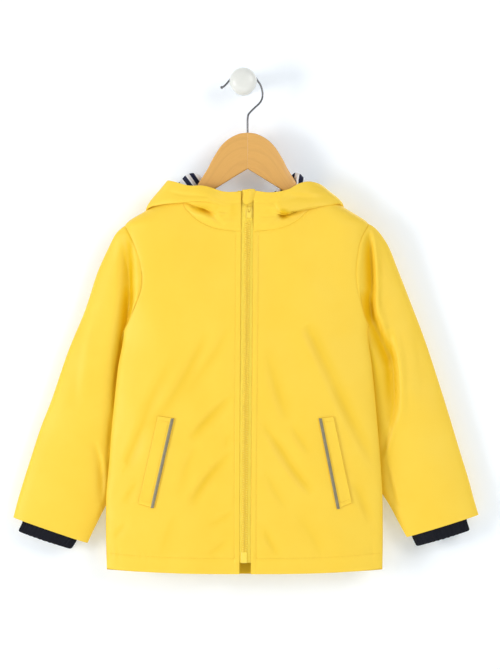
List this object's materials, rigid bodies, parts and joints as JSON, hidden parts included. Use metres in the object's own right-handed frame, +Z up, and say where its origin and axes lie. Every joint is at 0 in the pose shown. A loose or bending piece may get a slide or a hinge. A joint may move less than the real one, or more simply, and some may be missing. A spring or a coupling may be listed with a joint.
{
  "type": "kids raincoat on a wooden hanger with its wall knob",
  "caption": "Child's hooded raincoat with a front zip, welt pockets and rib cuffs, hung on a wooden hanger whose steel hook rests on a round wall knob.",
  "frame": {"origin": "centre of the wall knob's flat back, on the wall", "axes": "+Z up, +Y into the wall, so the coat's front faces -Y; left and right in names are the viewer's"},
  "size_m": [0.6076, 0.0669, 0.6566],
  "materials": {
    "yellow_shell": "satin coated rain cloth",
    "striped_jersey": "matt cotton jersey, navy and white stripes",
    "navy_rib": "matt rib knit",
    "reflective_grey": "reflective tape",
    "yellow_tape": "woven zip tape",
    "yellow_plastic": "moulded, satin",
    "honey_wood": "varnished, satin",
    "steel": "bright plated wire",
    "white_knob": "glossy white"
  },
  "bodies": {
    "coat": {"back_panel": "yellow_shell", "front_left": "yellow_shell", "sleeve_left": "yellow_shell", "cuff_left": "navy_rib", "hood_left": "yellow_shell", "hood_lining_left": "striped_jersey", "pocket_welt_left": "yellow_shell", "reflective_strip_left": "reflective_grey", "zip_tape_left": "yellow_tape", "hanger_left": "honey_wood", "front_right": "yellow_shell", "sleeve_right": "yellow_shell", "cuff_right": "navy_rib", "hood_right": "yellow_shell", "hood_lining_right": "striped_jersey", "pocket_welt_right": "yellow_shell", "reflective_strip_right": "reflective_grey", "zip_tape_right": "yellow_tape", "hanger_right": "honey_wood", "zip_slider": "yellow_plastic", "zip_box": "yellow_plastic", "zip_guard": "yellow_shell", "hanger_hook": "steel", "wall_knob": "white_knob"},
    "pull": {"zip_pull": "yellow_plastic"}
  },
  "joints": [
    {"name": "zip_pull_hinge", "type": "hinge", "parent": "coat", "child": "pull", "pos_m": [0.0077, -0.06229, -0.166], "axis": [-1, 0, 0], "range_deg": [0, 135]}
  ]
}
